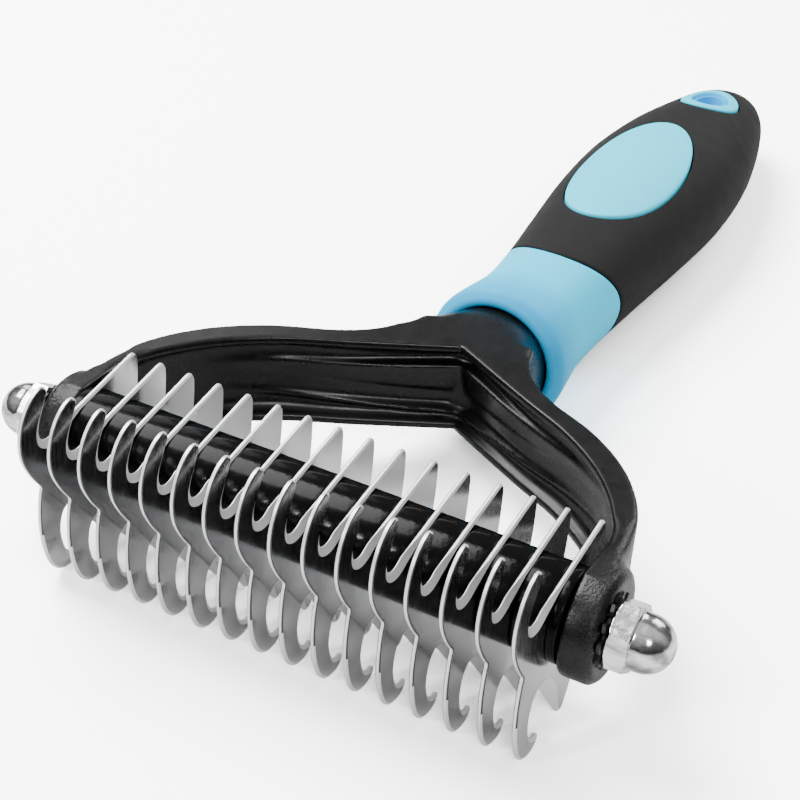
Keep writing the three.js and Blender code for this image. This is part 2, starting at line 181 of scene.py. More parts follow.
def apply_modifiers(piece):
    evaluated = piece.evaluated_get(bpy.context.evaluated_depsgraph_get())
    mesh = bpy.data.meshes.new_from_object(evaluated)
    piece.modifiers.clear()
    piece.data = mesh


def subtract(piece, cutters):
    for cutter in cutters:
        modifier = piece.modifiers.new("cut", "BOOLEAN")
        modifier.operation = "DIFFERENCE"
        modifier.solver = "EXACT"
        modifier.object = cutter
    apply_modifiers(piece)
    for cutter in cutters:
        bpy.data.objects.remove(cutter)


# ---- materials ----
# Most values of a noise texture lie between these.
NOISE_LOW = 0.3
NOISE_HIGH = 0.7


class Finish:
    """A Principled material whose patterns are read in millimetres of the row frame."""

    def __init__(self, name, color, metallic, roughness):
        self.material = bpy.data.materials.new(name)
        self.material.use_nodes = True
        self.nodes = self.material.node_tree.nodes
        self.bsdf = self.nodes["Principled BSDF"]
        self.bsdf.inputs["Base Color"].default_value = (*color, 1.0)
        self.bsdf.inputs["Metallic"].default_value = metallic
        self.bsdf.inputs["Roughness"].default_value = roughness
        coordinates = self.nodes.new("ShaderNodeTexCoord")
        scale = self.nodes.new("ShaderNodeVectorMath")
        scale.operation = "SCALE"
        scale.inputs["Scale"].default_value = 1 / MM
        self.link(coordinates.outputs["Object"], scale.inputs[0])
        self.place = scale.outputs["Vector"]
        self.last_bump = None

    def link(self, output, target):
        self.material.node_tree.links.new(output, target)

    def stretch(self, x, y, z):
        node = self.nodes.new("ShaderNodeVectorMath")
        node.operation = "MULTIPLY"
        self.link(self.place, node.inputs[0])
        node.inputs[1].default_value = (x, y, z)
        return node.outputs["Vector"]

    def noise(self, per_mm, detail=2.0, place=None):
        node = self.nodes.new("ShaderNodeTexNoise")
        node.inputs["Scale"].default_value = per_mm
        node.inputs["Detail"].default_value = detail
        self.link(place or self.place, node.inputs["Vector"])
        return node.outputs["Fac"]

    def remap(self, value, from_low, from_high, to_low, to_high):
        node = self.nodes.new("ShaderNodeMapRange")
        self.link(value, node.inputs["Value"])
        for key, number in (("From Min", from_low), ("From Max", from_high),
                            ("To Min", to_low), ("To Max", to_high)):
            node.inputs[key].default_value = number
        return node.outputs["Result"]

    def times(self, a, b):
        node = self.nodes.new("ShaderNodeMath")
        node.operation = "MULTIPLY"
        self.link(a, node.inputs[0])
        self.link(b, node.inputs[1])
        return node.outputs["Value"]

    def part(self, axis):
        node = self.nodes.new("ShaderNodeSeparateXYZ")
        self.link(self.place, node.inputs[0])
        return node.outputs[axis]

    def tint(self, factor, color_a, color_b):
        node = self.nodes.new("ShaderNodeMix")
        node.data_type = "RGBA"
        self.link(factor, node.inputs["Factor"])
        node.inputs["A"].default_value = (*color_a, 1.0)
        node.inputs["B"].default_value = (*color_b, 1.0)
        self.link(node.outputs["Result"], self.bsdf.inputs["Base Color"])

    def roughness(self, value, low, high):
        self.link(self.remap(value, NOISE_LOW, NOISE_HIGH, low, high),
                  self.bsdf.inputs["Roughness"])

    def specular(self, level):
        self.bsdf.inputs["Specular IOR Level"].default_value = level

    def bump(self, height, strength, depth_mm):
        node = self.nodes.new("ShaderNodeBump")
        node.inputs["Strength"].default_value = strength
        node.inputs["Distance"].default_value = depth_mm * MM
        self.link(height, node.inputs["Height"])
        if self.last_bump:
            self.link(self.last_bump, node.inputs["Normal"])
        self.last_bump = node.outputs["Normal"]
        self.link(self.last_bump, self.bsdf.inputs["Normal"])


def cast_black():
    """Glossy black paint, smooth on the arms and sandy on the ends round the axle."""
    finish = Finish("cast_black", (0.002, 0.002, 0.002), 0.0, 0.3)
    finish.tint(finish.remap(finish.noise(0.25, 4), NOISE_LOW, NOISE_HIGH, 0, 1),
                (0.001, 0.001, 0.001), (0.003, 0.003, 0.003))
    finish.roughness(finish.noise(0.4, 5), 0.24, 0.36)
    finish.bump(finish.noise(0.5, 3), strength=0.1, depth_mm=0.02)
    across = finish.nodes.new("ShaderNodeMath")
    across.operation = "ABSOLUTE"
    finish.link(finish.part("X"), across.inputs[0])
    on_lug = finish.remap(across.outputs["Value"], 37.5, 41.0, 0.04, 1.0)
    finish.bump(finish.times(finish.noise(3.0, 4), on_lug), strength=0.9, depth_mm=0.14)
    finish.specular(0.3)
    return finish.material


def polished_steel():
    finish = Finish("polished_steel", (0.66, 0.665, 0.67), 1.0, 0.14)
    grain = finish.noise(1.0, 3, finish.stretch(1.0, 6.0, 0.35))
    finish.roughness(grain, 0.09, 0.22)
    finish.tint(finish.remap(finish.noise(0.12, 3), NOISE_LOW, NOISE_HIGH, 0, 1),
                (0.56, 0.565, 0.57), (0.74, 0.74, 0.745))
    finish.bump(grain, strength=0.12, depth_mm=0.01)
    finish.bump(finish.noise(0.15, 2), strength=0.2, depth_mm=0.08)
    return finish.material


def ground_steel():
    finish = Finish("ground_steel", (0.95, 0.95, 0.94), 0.6, 0.4)
    grain = finish.noise(2.2, 2, finish.stretch(1.0, 0.4, 3.0))
    finish.roughness(grain, 0.34, 0.5)
    finish.tint(finish.noise(0.5, 2), (0.93, 0.93, 0.93), (1.0, 1.0, 0.99))
    finish.bump(grain, strength=0.15, depth_mm=0.015)
    return finish.material


def painted_shade_steel():
    """Painted shade: dark steel on the fine chamfer between a blade's faces and its edge, in place
    of the dark surroundings that chamfer reflects.
    """
    finish = Finish("painted_shade_steel", (0.08, 0.08, 0.085), 1.0, 0.4)
    finish.tint(finish.noise(0.8, 3), (0.04, 0.04, 0.042), (0.16, 0.16, 0.165))
    finish.roughness(finish.noise(2.0, 3), 0.32, 0.5)
    finish.bump(finish.noise(3.0, 2), strength=0.2, depth_mm=0.01)
    return finish.material


def glossy_black():
    finish = Finish("glossy_black", (0.001, 0.001, 0.001), 0.0, 0.15)
    finish.tint(finish.noise(0.4, 3), (0.0008, 0.0008, 0.0008), (0.003, 0.003, 0.003))
    finish.roughness(finish.noise(0.5, 5), 0.1, 0.2)
    finish.bump(finish.noise(0.35, 2), strength=0.4, depth_mm=0.1)
    finish.bump(finish.noise(1.6, 3), strength=0.5, depth_mm=0.05)
    finish.specular(0.08)
    return finish.material


def nut_chrome():
    finish = Finish("nut_chrome", (0.7, 0.7, 0.7), 1.0, 0.1)
    streaks = finish.noise(0.35, 3, finish.stretch(0.4, 1.6, 1.6))
    finish.tint(finish.remap(streaks, 0.38, 0.58, 0, 1), (0.3, 0.3, 0.305), (0.92, 0.92, 0.91))
    finish.roughness(finish.noise(0.8, 4), 0.1, 0.24)
    finish.bump(finish.noise(0.5, 2), strength=0.5, depth_mm=0.12)
    return finish.material


def washer_black():
    finish = Finish("washer_black", (0.012, 0.012, 0.012), 0.5, 0.38)
    finish.roughness(finish.noise(1.5, 4), 0.28, 0.5)
    finish.tint(finish.noise(1.0, 3), (0.008, 0.008, 0.008), (0.022, 0.022, 0.023))
    finish.bump(finish.noise(3.0, 3), strength=0.3, depth_mm=0.03)
    return finish.material


def soft_grip():
    finish = Finish("soft_grip", (0.014, 0.014, 0.014), 0.0, 0.7)
    finish.tint(finish.noise(0.08, 2), (0.013, 0.013, 0.013), (0.015, 0.015, 0.015))
    finish.roughness(finish.noise(0.3, 3), 0.66, 0.74)
    finish.bump(finish.noise(5.0, 2), strength=0.2, depth_mm=0.02)
    finish.specular(0.12)
    return finish.material


def blue_plastic(name, color_a, color_b, painted_shade_span=None):
    """Satin plastic; the last argument, if given, is (y of color_a, y of color_b) for a colour that
    fades along Y, used as painted shade.
    """
    finish = Finish(name, color_b, 0.0, 0.5)
    if painted_shade_span:
        y_a, y_b = painted_shade_span
        row_y = AXLE.y / MM
        finish.tint(finish.remap(finish.part("Y"), row_y + y_a, row_y + y_b, 0, 1),
                    color_a, color_b)
    else:
        finish.tint(finish.noise(0.12, 3), color_a, color_b)
    finish.roughness(finish.noise(0.4, 4), 0.46, 0.58)
    finish.bump(finish.noise(6.0, 2), strength=0.12, depth_mm=0.015)
    finish.specular(0.2)
    return finish.material


CAST_BLACK = cast_black()
POLISHED_STEEL = polished_steel()
GROUND_STEEL = ground_steel()
PAINTED_SHADE_STEEL = painted_shade_steel()
GLOSSY_BLACK = glossy_black()
NUT_CHROME = nut_chrome()
WASHER_BLACK = washer_black()
SOFT_GRIP = soft_grip()
# The collar's blue darkens towards its mouth: painted shade.
SKY_COLLAR = blue_plastic("sky_collar", (0.0, 0.36, 0.72), (0.0, 0.68, 1.0), (54.0, 66.0))
SKY_PAD = blue_plastic("sky_pad", (0.02, 0.72, 1.0), (0.03, 0.76, 1.0))
DEEP_BLUE = blue_plastic("deep_blue", (0.0, 0.38, 0.80), (0.0, 0.42, 0.86))


# ---- blades ----
# Control points after the current point, then the width of the ground bevel at the segment's end.
# Two points make a quadratic curve, three a cubic and one a straight line.
PLAIN = 0.15  # the chamfer on an edge that isn't ground
BLADE_START = (-11.9, 13.4)
BLADE_OUTLINE = [
    ([(-15.2, 12.6), (-17.6, 7.6), (-15.6, 3.2)], PLAIN),
    ([(-14.4, 0.6), (-12.3, -1.9)], PLAIN),
    ([(-11.8, -2.5), (-12.2, -3.3)], PLAIN),
    ([(-13.2, -8.0), (-12.2, -16.2), (-8.6, -18.4)], 0.35),
    ([(-6.4, -19.6), (-4.2, -19.0), (-4.0, -17.4)], 0.45),
    ([(-4.2, -16.9), (-4.7, -17.1)], 0.5),
    ([(-6.6, -17.0), (-7.4, -15.0)], 0.45),
    ([(-8.4, -12.4), (-8.0, -10.4)], 0.3),
    ([(-7.4, -8.5), (-5.9, -8.6)], 0.8),
    ([(-5.2, -8.9), (-4.4, -9.9)], 2.1),
    ([(-1.6, -13.4)], 2.4),
    ([(2.2, -18.1)], 0.5),
    ([(3.1, -19.0), (3.9, -17.8)], PLAIN),
    ([(8.6, -9.7), (10.0, -0.7)], PLAIN),
    ([(10.7, 3.4), (10.5, 7.3)], PLAIN),
    ([(10.3, 8.9), (8.9, 8.6)], 0.3),
    ([(-3.2, 6.3)], 0.4),
    ([(-8.0, 5.4)], 1.5),
    ([(-10.0, 4.0), (-11.5, 5.2)], 1.1),
    ([(-12.5, 6.4), (-11.7, 8.6)], 0.7),
    ([(-10.9, 10.4), (-10.2, 12.0)], 0.4),
    ([(-10.3, 13.6), (-11.9, 13.4)], PLAIN),
]
PAINTED_SHADE_LIMIT = 0.22  # narrower bevels get dark steel as painted shade
FULL_GRIND = 1.0  # a bevel this wide is ground down to the thin edge
THIN_EDGE = 0.22


def bezier(points, t):
    while len(points) > 1:
        points = [a.lerp(b, t) for a, b in zip(points, points[1:])]
    return points[0]


def blade_outline():
    """Outline points and the bevel's width at each."""
    steps = 12
    start = Vector(BLADE_START)
    bevel = PLAIN
    outline = []
    for controls, next_bevel in BLADE_OUTLINE:
        points = [start, *(Vector(c) for c in controls)]
        for i in range(steps):
            t = i / steps
            outline.append((bezier(points, t), mix(bevel, next_bevel, t)))
        start = points[-1]
        bevel = next_bevel
    return outline


def keyed_radius(radius, flat):
    """Distance from the axis to a circle with two flats, by angle from +Y."""
    return lambda angle: min(radius, flat / max(abs(math.sin(angle)), 1e-6))


def blade_mesh():
    outline = blade_outline()
    count = len(outline)
    half = BLADE_THICKNESS / 2
    loops = {"right_face": [], "right_edge": [], "left_edge": [], "left_face": []}
    for i, (point, bevel) in enumerate(outline):
        along = outline[(i + 1) % count][0] - outline[i - 1][0]
        inward = Vector((-along.y, along.x)).normalized()
        grind = min((bevel - PLAIN) / FULL_GRIND, 1.0)
        right_inset = point + inward * bevel
        left_inset = point + inward * PLAIN
        right_edge = mix(half - PLAIN, THIN_EDGE - half, grind)
        loops["right_face"].append((half, *right_inset))
        loops["right_edge"].append((right_edge, *point))
        loops["left_edge"].append((PLAIN - half, *point))
        loops["left_face"].append((-half, *left_inset))
    points = [p for loop in loops.values() for p in loop]
    faces = ring_faces(len(loops), count)
    # Slot 2 is dark steel, painted shade on the narrow chamfers and the left chamfer.
    polished, ground, painted_shade = range(3)
    slots = [ground if bevel > PAINTED_SHADE_LIMIT else painted_shade for _, bevel in outline]
    slots += [ground] * count + [painted_shade] * count

    hole_steps = 40
    radius = keyed_radius(AXLE_RADIUS + FIT_GAP, AXLE_FLAT + FIT_GAP)
    holes = {}
    for x in (half, -half):
        holes[x] = len(points)
        for j in range(hole_steps):
            angle = 2 * math.pi * j / hole_steps
            r = radius(angle)
            points.append((x, r * math.cos(angle), r * math.sin(angle)))
    for j in range(hole_steps):
        k = (j + 1) % hole_steps
        faces.append((holes[half] + j, holes[half] + k, holes[-half] + k, holes[-half] + j))
    for x, loop_start in ((half, 0), (-half, 3 * count)):
        loop = [Vector((0, *points[loop_start + i][1:])) for i in range(count)]
        hole = [Vector((0, *points[holes[x] + j][1:])) for j in range(hole_steps)]
        for corners in tessellate_polygon([loop, hole]):
            faces.append(tuple(
                loop_start + c if c < count else holes[x] + c - count for c in corners))
    slots += [polished] * (len(faces) - len(slots))
    mesh = make_mesh("blade", points, faces, sharp_degrees=14, face_slots=slots)
    mesh.materials.append(POLISHED_STEEL)
    mesh.materials.append(GROUND_STEEL)
    mesh.materials.append(PAINTED_SHADE_STEEL)
    return mesh


# ---- rings on the axle ----
def spacer_mesh(name, length):
    half = length / 2
    round_off = min(RING_EDGE_ROUND, half / 3)
    bore = AXLE_RADIUS + FIT_GAP
    corner = [(half - round_off * (1 - math.cos(a)), SPACER_RADIUS - round_off * (1 - math.sin(a)))
              for a in spread(0, math.pi / 2, 6)]
    right = [(half, bore), *corner]
    left = [(-x, r) for x, r in reversed(right)]
    points, faces = turned([*right, *left, right[0]], ROUND_STEPS)
    mesh = make_mesh(name, points, faces, sharp_degrees=35)
    mesh.materials.append(GLOSSY_BLACK)
    return mesh


def thread_radius(x):
    """Radius of a V thread by angle, at x along the axle's right end."""
    depth = 0.3
    flank_slope = 2.4

    def radius(angle):
        turn = (x / THREAD_PITCH - angle / (2 * math.pi)) % 1.0
        return THREAD_RADIUS - depth * min(1.0, flank_slope * abs(turn - 0.5))
    return radius


def axle_mesh():
    """Keyed rod with threaded ends; the left end mirrors the right one, thread and all."""
    keyed_end = LUG["outer_x"] - 1
    thread_end = NUT_FACE_X + NUT["height"] - NUT["wall"] - FIT_GAP
    taper_length = 0.4
    taper_depth = 0.5
    thread_rings = 96
    keyed = keyed_radius(AXLE_RADIUS, AXLE_FLAT)
    right = [(keyed_end, keyed), (keyed_end, THREAD_RADIUS)]
    right += [(x, thread_radius(x))
              for x in spread(keyed_end, thread_end - taper_length, thread_rings)]
    right += [(thread_end, THREAD_RADIUS - taper_depth), (thread_end, 0.0)]
    left = [(-x, r) for x, r in reversed(right)]
    points, faces = turned([*left, *right], AXLE_STEPS)
    mesh = make_mesh("axle", points, faces, sharp_degrees=50)
    mesh.materials.append(NUT_CHROME)
    return mesh


def washer_mesh(sign):
    """External-tooth lock washer with twisted teeth, face on the lug at x = 0."""
    bore = THREAD_RADIUS + FIT_GAP
    root = 4.0
    tooth_steps = 16
    steps = WASHER["teeth"] * tooth_steps
    tooth_end = 0.75  # share of a tooth's sector before the gap
    plate = 0.45
    middle_x = WASHER["thickness"] / 2
    twist = (WASHER["thickness"] - plate) / 2
    rings = [(bore, 1, 0), (root, 1, 0), (WASHER["radius"], 1, 1),
             (WASHER["radius"], -1, 1), (root, -1, 0), (bore, -1, 0), (bore, 1, 0)]
    points = []
    for radius, face, toothed in rings:
        for j in range(steps):
            phase = (j % tooth_steps) / tooth_steps
            tooth = smoothstep(0.0, 0.2, phase) * (1 - smoothstep(0.55, tooth_end, phase))
            r = mix(root, radius, tooth) if toothed else radius
            lean = toothed * twist * (2 * phase / tooth_end - 1) * tooth
            angle = 2 * math.pi * j / steps
            x = middle_x + face * plate / 2 + lean
            points.append((sign * x, r * math.cos(angle), r * math.sin(angle)))
    mesh = make_mesh(f"washer_{sign}", points, ring_faces(len(rings), steps), sharp_degrees=35)
    mesh.materials.append(WASHER_BLACK)
    return mesh


def nut_mesh(sign):
    """Acorn nut with a chamfered hexagon; its open face is at x = 0."""
    inradius = NUT["across_flats"] / 2
    sector = math.pi / 3

    def hexagon(limit):
        return lambda angle: min(
            limit, inradius / math.cos((angle + sector / 2) % sector - sector / 2))
    corner = inradius / math.cos(sector / 2)
    bore = THREAD_RADIUS + FIT_GAP
    bore_end = NUT["height"] - NUT["wall"]
    countersink = 0.35
    chamfer = corner - inradius + 0.1
    slope = 0.55
    run = chamfer * slope
    profile = [(bore_end, 0.0), (bore_end, bore), (countersink, bore)]
    profile += [(0.0, bore + countersink), (0.0, hexagon(corner - chamfer))]
    profile += [(t * run, hexagon(corner - chamfer * (1 - t))) for t in spread(0, 1, 10)]
    top = NUT["hex_height"]
    profile += [(top - t * run, hexagon(corner - chamfer * (1 - t))) for t in spread(1, 0, 10)]
    neck = NUT["dome_radius"]
    fillet = [(top + 0.02, neck + 0.28), (top + 0.1, neck + 0.1), (top + 0.3, neck)]
    profile += fillet
    wall_end = NUT["height"] - neck
    profile += [(wall_end + neck * math.sin(a), neck * math.cos(a))
                for a in spread(0, math.pi / 2, 20)]
    steps = 144
    points, faces = turned([(sign * x, r) for x, r in profile], steps)
    mesh = make_mesh(f"nut_{sign}", points, faces, sharp_degrees=28)
    mesh.materials.append(NUT_CHROME)
    return mesh


# ---- yoke ----
# Plan curves of the rims' outer and inner edges, from the right arm's end to the middle.
OUTER_PLAN = [(41.4, 0), (41.3, 6), (40.7, 12), (38.2, 19), (33.4, 25.8),
              (26.6, 31.4), (17.2, 36.2), (9.8, 41.0), (0, 48)]
INNER_PLAN = [(ARM_INNER_X, 0), (38.3, 6), (37.5, 11.5), (34.5, 17.6), (29.4, 23.8),
              (22.6, 29.2), (14.6, 33.6), (7.6, 37.6), (0, 42)]
LIP_SHARE = 0.84  # the rims' inner lips end this part of the way up and down
# Shares of the arm's thickness: how deep its inner face is hollowed and how far ridges stand up.
HOLLOW_DEPTH = 0.52
RIDGE_HEIGHT = 0.4
# Shares of the half height over which the big ridge and the low rib fade out.
RIDGE_FADE = 0.06
RIB_FADE = 0.07
# Shares of the half height where the cast ridges run, half way along the arm and at the neck.
RIDGE_CREST = (0.30, 0.46)
RIDGE_FOOT = (0.24, -0.19)
LOW_RIB = (-0.34, -0.66)


def inner_face(share, along):
    """How far the arm's inner face reaches from the outer wall (0) to the rims' edge (1).
    share is the height from the middle to the rim; along is 0 at the lug and 1 at the neck."""
    hollow = HOLLOW_DEPTH * smoothstep(0.1, 0.25, along) * (1 - abs(share / LIP_SHARE) ** 10)
    fan = (along - 0.5) / 0.5
    crest = mix(*RIDGE_CREST, fan)
    foot = mix(*RIDGE_FOOT, fan)
    low_rib = mix(*LOW_RIB, fan)
    slope = min(max((share - foot) / (crest - foot), 0.0), 1.0)
    beyond = max(share - crest, foot - share, 0.0)
    ridge = mix(0.3, 1.0, slope) * math.exp(-(beyond / RIDGE_FADE) ** 2)
    rib = 0.8 * math.exp(-((share - low_rib) / RIB_FADE) ** 2)
    return 1 - hollow + RIDGE_HEIGHT * max(ridge, rib) * smoothstep(0.45, 0.9, along)


def arm_section(along):
    """(across, share) points round the arm's section."""
    outer = [(0.0, s) for s in spread(-0.94, 0.94, 14)]
    top = [(a, 1.0) for a in spread(0.08, 0.95, 8)]
    lip = [(1.0, 0.96), (1.0, LIP_SHARE + 0.04)]
    inside = [(inner_face(s, along), s) for s in spread(LIP_SHARE, -LIP_SHARE, 72)]
    low_lip = [(a, -s) for a, s in reversed(lip)]
    bottom = [(a, -s) for a, s in reversed(top)]
    return [*outer, *top, *lip, *inside, *low_lip, *bottom]


def arms():
    centre_z = (RIM_TOP + RIM_BOTTOM) / 2
    half_height = (RIM_TOP - RIM_BOTTOM) / 2
    stations = 120
    last = len(OUTER_PLAN) - 1
    points = []
    size = 0
    for i in range(-stations, stations + 1):
        along = 1 - abs(i) / stations
        outer = catmull(OUTER_PLAN, along * last)
        inner = catmull(INNER_PLAN, along * last)
        section = arm_section(along)
        size = len(section)
        side = -1 if i < 0 else 1
        for across, share in section:
            points.append((side * mix(outer[0], inner[0], across), mix(outer[1], inner[1], across),
                           centre_z + share * half_height))
    return points, ring_faces(2 * stations + 1, size, close_ends=True)


def oval_ring(y, z, half_width, half_height, squareness=2.0):
    """An upright ring: squareness 2 is an ellipse, and higher values square its corners."""
    def bend(value):
        return math.copysign(abs(value) ** (2 / squareness), value)
    steps = 72
    turns = [2 * math.pi * j / steps for j in range(steps)]
    return [(half_width * bend(math.cos(a)), y, z + half_height * bend(math.sin(a)))
            for a in turns]


def tube(rings):
    faces = ring_faces(len(rings), len(rings[0]), close_ends=True)
    return [p for ring in rings for p in ring], faces


def neck():
    """Level with the rims where it leaves the arms, and round where it enters the collar."""
    # y, z of the axis, half width, half height and squareness
    rows = [(44.0, -0.7, 9.9, 7.5, 9.0), (47.5, -0.75, 9.8, 7.6, 7.0), (50.0, -1.1, 9.6, 8.0, 4.2),
            (52.5, -1.5, 9.3, 8.6, 2.7), (55.5, NECK["z"], 9.0, 9.0, 2.05),
            (NECK["end_y"], NECK["z"], 8.9, 8.9, 2.0)]
    return tube([oval_ring(*catmull(rows, u)) for u in spread(0, len(rows) - 1, 40)])


def tang():
    return tube([oval_ring(y, NECK["z"], TANG["radius"], TANG["radius"])
                 for y in (NECK["end_y"] - 1, TANG["end_y"])])


def web():
    """Fills the outer corners between the arms and the neck, as high as the rims."""
    flank = [(20.0, 34.4), (14.5, 38.2), (11.6, 42.0), (10.1, 46.0), (9.5, 48.5)]
    right = [catmull(flank, u) for u in spread(0, len(flank) - 1, 24)]
    left = [(-x, y) for x, y in reversed(right)]
    inside = [(-9.6, 40.6), (0.0, 47.4), (9.6, 40.6)]
    outline = [*right, *left, *inside]
    return tube([[(x, y, z) for x, y in outline] for z in (RIM_BOTTOM, RIM_TOP)])


def lug(sign):
    inner_chamfer = 0.3
    chamfer = 0.9
    steps = 72
    profile = [(ARM_INNER_X, 0.0), (ARM_INNER_X, LUG["radius"] - inner_chamfer),
               (ARM_INNER_X + inner_chamfer, LUG["radius"]),
               (LUG["outer_x"] - chamfer, LUG["radius"]),
               (LUG["outer_x"], LUG["radius"] - chamfer), (LUG["outer_x"], 0.0)]
    points, faces = turned([(sign * x, r) for x, r in profile], steps)
    return [(x, y + LUG["y"], z + LUG["z"]) for x, y, z in points], faces


YOKE_VOXEL = 0.33
# Stretches of Y with soft fillets, over the lugs and along the neck: where the softening starts,
# is full, starts to fade and ends.
SOFT_STRETCHES = [(5.5, 8.5, 12.0, 15.0), (42.5, 46.0, 53.5, 56.5)]


def soften(piece, passes):
    modifier = piece.modifiers.new("soften", "SMOOTH")
    modifier.factor = 0.5
    modifier.iterations = passes
    return modifier


def melt_shoulders(piece):
    """Soft fillets where the arms run into the lugs and the neck."""
    shoulders = piece.vertex_groups.new(name="shoulders")
    for vertex in piece.data.vertices:
        y = (vertex.co.y - AXLE.y) / MM
        weight = max(smoothstep(start, full, y) * (1 - smoothstep(fade, end, y))
                     for start, full, fade, end in SOFT_STRETCHES)
        if weight > 0:
            shoulders.add([vertex.index], weight, "REPLACE")
    soften(piece, 70).vertex_group = shoulders.name
    apply_modifiers(piece)


def yoke_piece():
    points = []
    faces = []
    for shell_points, shell_faces in (
            arms(), web(), neck(), tang(), lug(-1), lug(1)):
        start = len(points)
        points += shell_points
        faces += [tuple(start + corner for corner in face) for face in shell_faces]
    mesh = make_mesh("yoke_look", points, faces, sharp_degrees=180)
    piece = add_object("yoke_look", mesh)
    remesh = piece.modifiers.new("merge", "REMESH")
    remesh.mode = "VOXEL"
    remesh.voxel_size = YOKE_VOXEL * MM
    soften(piece, 3)
    apply_modifiers(piece)
    melt_shoulders(piece)
    reach = LUG["outer_x"] + 2
    bore = AXLE_RADIUS + FIT_GAP
    hole_points, hole_faces = turned([(-reach, 0.0), (-reach, bore), (reach, bore), (reach, 0.0)],
                                     AXLE_STEPS)
    hole_mesh = make_mesh("axle_hole", hole_points, hole_faces, sharp_degrees=30)
    subtract(piece, [add_object("axle_hole", hole_mesh)])
    finish_shading(piece.data, sharp_degrees=50)
    piece.data.materials.clear()
    piece.data.materials.append(CAST_BLACK)
    return piece


# ---- handle ----
# y, z of the axis, half width and half height, from the collar's lip to the tip.
HANDLE_ROWS = [
    (54.9, -1.8, 10.7, 10.7), (56.4, -1.8, 11.7, 11.7), (60, -1.6, 11.3, 11.3),
    (66, -1.4, 10.5, 10.5), (72, -1.2, 10.4, 10.2), (80, -0.6, 10.9, 10.4),
    (92, 0.4, 12.2, 10.8), (106, 1.4, 13.7, 11.3), (120, 1.9, 14.4, 11.5),
    (134, 2.2, 13.5, 10.7), (146, 2.6, 11.3, 9.1), (155, 3.1, 8.9, 7.3),
    (160.5, 2.9, 6.8, 5.7), (164, 2.6, 4.9, 4.1), (166.0, 2.5, 2.6, 2.2), (166.6, 2.5, 0.0, 0.0),
]
RING_STEPS = 96
LAST_ROW = len(HANDLE_ROWS) - 1
ROWS_PER_MM = 1 / 7  # near the seam


def find_u(wanted, low=0.0, high=LAST_ROW):
    """The place along the handle where wanted(row) crosses from negative to positive."""
    halvings = 40
    for _ in range(halvings):
        half = (low + high) / 2
        if wanted(catmull(HANDLE_ROWS, half)) < 0:
            low = half
        else:
            high = half
    return low


def seam_u(angle):
    return find_u(lambda row: row[0] - SEAM_Y - SEAM_SWEEP * (row[2] * math.cos(angle)) ** 2)


def top_z(x, y):
    """Height of the handle's top over (x, y)."""
    _, z, half_width, half_height = catmull(HANDLE_ROWS, find_u(lambda row: row[0] - y))
    return z + half_height * math.sqrt(max(0.0, 1 - (x / half_width) ** 2))


def under_z(x, y):
    _, z, half_width, half_height = catmull(HANDLE_ROWS, find_u(lambda row: row[0] - y))
    return z - half_height * math.sqrt(max(0.0, 1 - (x / half_width) ** 2))


def handle_point(u, angle, inset):
    y, z, half_width, half_height = catmull(HANDLE_ROWS, u)
    return ((half_width - inset) * math.cos(angle), y, z + (half_height - inset) * math.sin(angle))


# (distance from the seam, inset) of the rounded edge that both sleeves end with.
SEAM_EDGE = [(0.0, 1.6), (0.0, 0.3), (0.04, 0.15), (0.12, 0.05), (0.3, 0.0)]
SLEEVE_END_Z = -1.0  # both sleeves' hidden ends close in a point at this height


def skin(columns):
    """Points and faces from one column of points per angle."""
    rings = list(zip(*columns))
    return [p for ring in rings for p in ring], ring_faces(len(rings), RING_STEPS)


# (height over the handle's surface, inset) of the walls of the inlays' pockets.
POCKET = [(-1.7, 0.0), (6.0, 0.0)]


def grip_piece():
    columns = []
    for j in range(RING_STEPS):
        angle = 2 * math.pi * j / RING_STEPS
        start = seam_u(angle)
        column = [(0.0, SEAM_Y + 4, SLEEVE_END_Z)]
        column += [handle_point(start + (FIT_GAP + d) * ROWS_PER_MM, angle, inset)
                   for d, inset in SEAM_EDGE]
        first = start + (FIT_GAP + SEAM_EDGE[-1][0]) * ROWS_PER_MM
        column += [handle_point(u, angle, 0.0) for u in spread(first, LAST_ROW, 110)[1:]]
        columns.append(column)
    points, faces = skin(columns)
    piece = add_object("grip_look", make_mesh("grip_look", points, faces, sharp_degrees=40))
    cutters = [oval_object("pad_pocket", PAD, FIT_GAP, POCKET),
               oval_object("ring_pocket", HANG, FIT_GAP, POCKET),
               hang_hole_object(FIT_GAP)]
    subtract(piece, cutters)
    finish_shading(piece.data, sharp_degrees=40)
    piece.data.materials.clear()
    piece.data.materials.append(SOFT_GRIP)
    return piece


def collar_piece():
    mouth = NECK["radius"] + FIT_GAP
    # (y, radius) from inside the mouth out to the lip's face
    lip = [(60.0, mouth), (55.0, mouth), (54.7, mouth + 0.1), (54.5, mouth + 0.4),
           (54.5, mouth + 0.8), (54.65, mouth + 1.2)]
    columns = []
    for j in range(RING_STEPS):
        angle = 2 * math.pi * j / RING_STEPS
        column = [(r * math.cos(angle), y, NECK["z"] + r * math.sin(angle)) for y, r in lip]
        end = seam_u(angle)
        last = end - SEAM_EDGE[-1][0] * ROWS_PER_MM
        column += [handle_point(u, angle, 0.0) for u in spread(0.0, last, 56)]
        column += [handle_point(end - d * ROWS_PER_MM, angle, inset)
                   for d, inset in SEAM_EDGE[-2::-1]]
        column.append((0.0, SEAM_Y + 3, SLEEVE_END_Z))
        columns.append(column)
    points, faces = skin(columns)
    piece = add_object("collar_look", make_mesh("collar_look", points, faces, sharp_degrees=45))
    piece.data.materials.append(SKY_COLLAR)
    return piece


